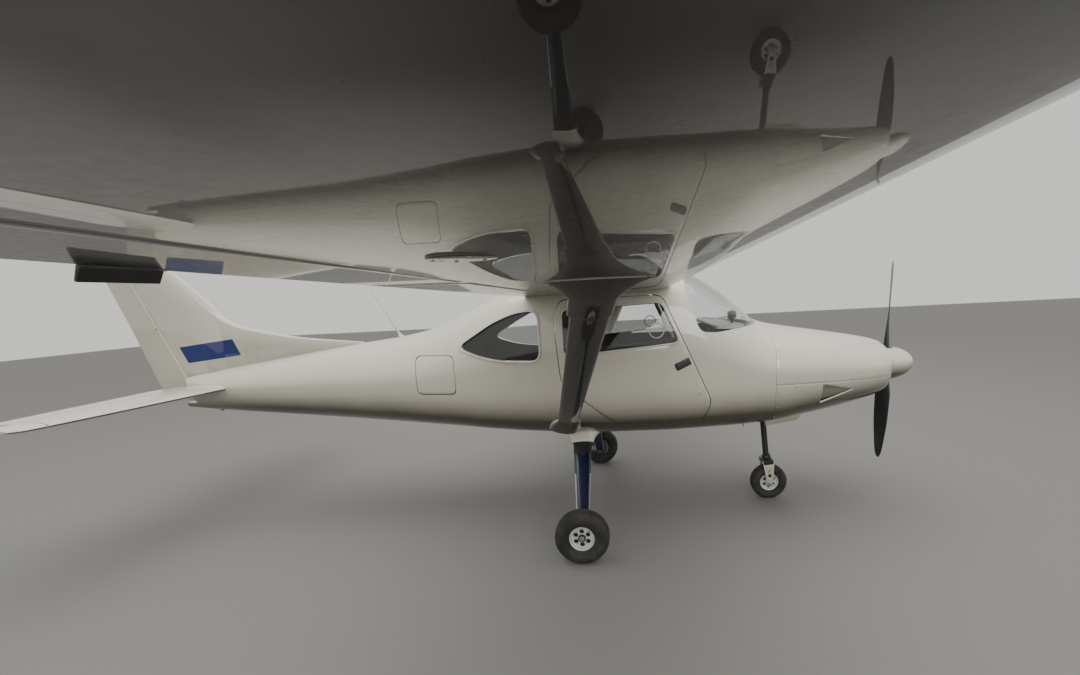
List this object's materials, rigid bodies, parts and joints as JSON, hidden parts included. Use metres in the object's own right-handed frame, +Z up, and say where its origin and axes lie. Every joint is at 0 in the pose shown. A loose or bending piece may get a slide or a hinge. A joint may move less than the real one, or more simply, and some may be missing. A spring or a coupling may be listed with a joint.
{
  "type": "two-seat high-wing light aircraft",
  "caption": "Strut-braced high-wing light aircraft with a hollow cabin, side doors, tricycle landing gear, a pulling propeller and moving control surfaces.",
  "frame": {"origin": "on the ground under the middle of the aircraft's box, in its plane of symmetry", "axes": "+X forward along the fuselage, +Y to the left wing tip, +Z up"},
  "size_m": [6.55, 9.6, 2.325],
  "materials": {
    "gelcoat": "clear glossy off-white gelcoat",
    "window": "clear polished pane",
    "dark_composite": "glossy near-black composite",
    "leg_composite": "glossy dark blue composite with pale edges",
    "black_metal": "satin black",
    "wheel_metal": "machined silver",
    "engine_metal": "cast grey",
    "steel": "plain steel",
    "tyre": "matt black rubber",
    "seat_cloth": "dark grey woven cloth",
    "trim": "dark grained plastic"
  },
  "bodies": {
    "airframe": {"cabin_shell": "gelcoat", "rear_window_left": "window", "rear_window_right": "window", "windscreen": "window", "tail_boom": "gelcoat", "wing_left": "gelcoat", "wing_right": "gelcoat", "strut_left": "gelcoat", "strut_right": "gelcoat", "fin": "gelcoat", "stabilizer": "gelcoat", "cowl_upper": "gelcoat", "cowl_lower": "gelcoat", "engine_block": "engine_metal", "exhaust_pipe": "steel", "gear_leg_left": "leg_composite", "gear_leg_right": "leg_composite", "leg_fairing_left": "gelcoat", "leg_fairing_right": "gelcoat", "main_axle_left": "steel", "main_axle_right": "steel", "nose_gear_mount": "black_metal", "seat_left": "seat_cloth", "seat_right": "seat_cloth", "instrument_panel": "trim", "cabin_console": "trim", "antenna_whip": "black_metal"},
    "propeller": {"propeller": "dark_composite", "spinner": "gelcoat"},
    "door_left": {"door_left": "gelcoat", "door_glass_left": "window", "door_handle_left": "black_metal"},
    "door_right": {"door_right": "gelcoat", "door_glass_right": "window", "door_handle_right": "black_metal"},
    "baggage_door": {"baggage_hatch": "gelcoat"},
    "flap_left": {"flap_left": "gelcoat"},
    "flap_right": {"flap_right": "gelcoat"},
    "aileron_left": {"aileron_left": "gelcoat"},
    "aileron_right": {"aileron_right": "gelcoat"},
    "elevator": {"elevator": "gelcoat"},
    "rudder": {"rudder": "gelcoat"},
    "nose_steering": {"nose_leg": "black_metal", "nose_fork": "gelcoat", "nose_axle": "steel"},
    "nose_wheel": {"nose_hub": "wheel_metal", "nose_tyre": "tyre"},
    "main_wheel_left": {"main_hub_left": "wheel_metal", "main_tyre_left": "tyre"},
    "main_wheel_right": {"main_hub_right": "wheel_metal", "main_tyre_right": "tyre"}
  },
  "joints": [
    {"name": "propeller_spin", "type": "hinge", "parent": "airframe", "child": "propeller", "pos_m": [3.075, 0, 1.09], "axis": [1, 0, 0], "continuous": true},
    {"name": "door_left_hinge", "type": "hinge", "parent": "airframe", "child": "door_left", "pos_m": [0.588, 0.6, 1.2], "axis": [0, 0, 1], "range_deg": [0, 45]},
    {"name": "door_right_hinge", "type": "hinge", "parent": "airframe", "child": "door_right", "pos_m": [0.588, -0.6, 1.2], "axis": [0, 0, -1], "range_deg": [0, 45]},
    {"name": "baggage_door_hinge", "type": "hinge", "parent": "airframe", "child": "baggage_door", "pos_m": [-0.141, -0.51744, 1.2], "axis": [0, 0, 1], "range_deg": [0, 100]},
    {"name": "flap_right_hinge", "type": "hinge", "parent": "airframe", "child": "flap_right", "pos_m": [0.65459, -1.56, 1.78245], "axis": [0, -0.9998, 0.0218], "range_deg": [0, 35]},
    {"name": "flap_left_hinge", "type": "hinge", "parent": "airframe", "child": "flap_left", "pos_m": [0.65459, 1.56, 1.78245], "axis": [0, -0.9998, -0.0218], "range_deg": [0, 35]},
    {"name": "aileron_right_hinge", "type": "hinge", "parent": "airframe", "child": "aileron_right", "pos_m": [0.65459, -3.43, 1.82325], "axis": [0, -0.9998, 0.0218], "range_deg": [-18, 18]},
    {"name": "aileron_left_hinge", "type": "hinge", "parent": "airframe", "child": "aileron_left", "pos_m": [0.65459, 3.43, 1.82325], "axis": [0, -0.9998, -0.0218], "range_deg": [-18, 18]},
    {"name": "elevator_hinge", "type": "hinge", "parent": "airframe", "child": "elevator", "pos_m": [-2.54, 0, 1.12], "axis": [0, 1, 0], "range_deg": [-20, 25]},
    {"name": "rudder_hinge", "type": "hinge", "parent": "airframe", "child": "rudder", "pos_m": [-2.64, 0, 1.14], "axis": [-0.3521, 0, 0.936], "range_deg": [-25, 25]},
    {"name": "nose_steering_pivot", "type": "hinge", "parent": "airframe", "child": "nose_steering", "pos_m": [2.215, 0, 0.144], "axis": [-0.1064, 0, 0.9943], "range_deg": [-25, 25]},
    {"name": "nose_wheel_spin", "type": "hinge", "parent": "nose_steering", "child": "nose_wheel", "pos_m": [2.215, 0, 0.144], "axis": [0, 1, 0], "continuous": true},
    {"name": "main_wheel_left_spin", "type": "hinge", "parent": "airframe", "child": "main_wheel_left", "pos_m": [0.76, 0.98, 0.18], "axis": [0, 1, 0], "continuous": true},
    {"name": "main_wheel_right_spin", "type": "hinge", "parent": "airframe", "child": "main_wheel_right", "pos_m": [0.76, -0.98, 0.18], "axis": [0, 1, 0], "continuous": true}
  ],
  "couplings": [
    {"joint": "flap_left_hinge", "follows": "flap_right_hinge", "ratio": 1},
    {"joint": "aileron_left_hinge", "follows": "aileron_right_hinge", "ratio": -1}
  ]
}
